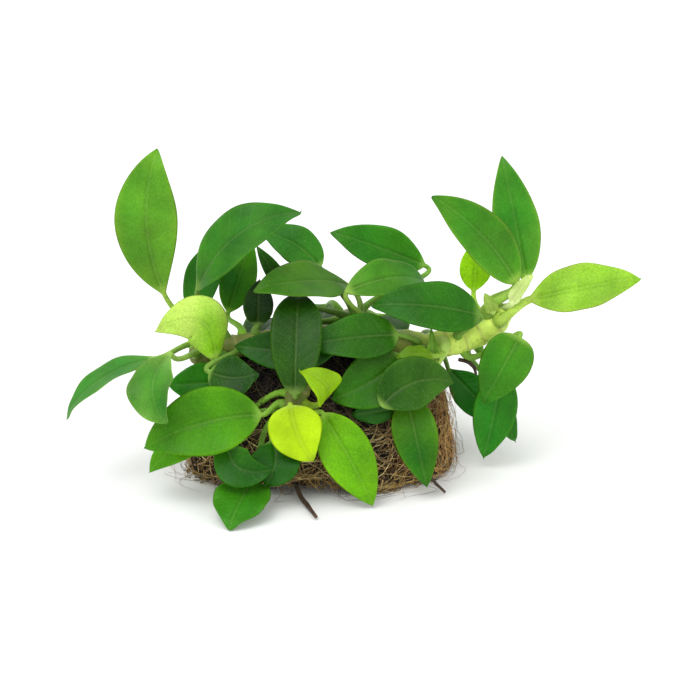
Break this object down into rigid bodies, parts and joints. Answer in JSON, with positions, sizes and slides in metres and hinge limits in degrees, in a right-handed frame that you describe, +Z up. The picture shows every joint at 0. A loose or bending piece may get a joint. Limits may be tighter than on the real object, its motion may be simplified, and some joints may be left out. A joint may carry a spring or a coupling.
{
  "type": "anubias on stone",
  "caption": "Small-leaved aquarium plant whose creeping rhizome grips a coir-wrapped stone, shown dry, resting on the stone's flat underside.",
  "frame": {"origin": "centre of the stone's flat underside, in the plane that the stone stands on", "axes": "+X along the stone, towards the end where the pale rhizome tip and the newest leaves are; +Z up; -Y is the side with the most leaves, from which the plant is usually seen"},
  "size_m": [0.14, 0.083, 0.08],
  "materials": {
    "leaf": "satin, waxy",
    "young_leaf": "satin, waxy",
    "new_leaf": "satin, waxy",
    "old_leaf": "satin, waxy",
    "rhizome": "satin",
    "root": "matt",
    "coir": "matt, fibrous",
    "rock": "rough"
  },
  "bodies": {
    "root": {"coir_mat": "coir", "leaf_back_1": "old_leaf", "leaf_back_10": "leaf", "leaf_back_11": "leaf", "leaf_back_2": "leaf", "leaf_back_3": "leaf", "leaf_back_4": "leaf", "leaf_back_5": "leaf", "leaf_back_6": "leaf", "leaf_back_7": "leaf", "leaf_back_8": "leaf", "leaf_back_9": "leaf", "leaf_front_1": "leaf", "leaf_front_10": "young_leaf", "leaf_front_2": "leaf", "leaf_front_3": "new_leaf", "leaf_front_4": "new_leaf", "leaf_front_5": "young_leaf", "leaf_front_6": "leaf", "leaf_front_7": "young_leaf", "leaf_front_8": "leaf", "leaf_front_9": "old_leaf", "leaf_left_1": "leaf", "leaf_left_10": "old_leaf", "leaf_left_11": "leaf", "leaf_left_2": "young_leaf", "leaf_left_3": "leaf", "leaf_left_4": "old_leaf", "leaf_left_5": "old_leaf", "leaf_left_6": "old_leaf", "leaf_left_7": "leaf", "leaf_left_8": "leaf", "leaf_left_9": "old_leaf", "leaf_mid_1": "leaf", "leaf_mid_2": "leaf", "leaf_mid_3": "leaf", "leaf_mid_4": "leaf", "leaf_mid_5": "leaf", "leaf_mid_6": "young_leaf", "leaf_mid_7": "old_leaf", "leaf_right_1": "leaf", "leaf_right_2": "leaf", "leaf_right_3": "young_leaf", "leaf_right_4": "young_leaf", "leaf_right_5": "leaf", "leaf_right_6": "leaf", "leaf_right_7": "old_leaf", "leaf_right_8": "leaf", "leaf_right_9": "leaf", "rhizome_back": "rhizome", "rhizome_centre": "rhizome", "rhizome_front": "rhizome", "rhizome_left": "rhizome", "rhizome_right": "rhizome", "root_front": "root", "root_right": "root", "root_side": "root", "stone": "rock"}
  },
  "joints": []
}
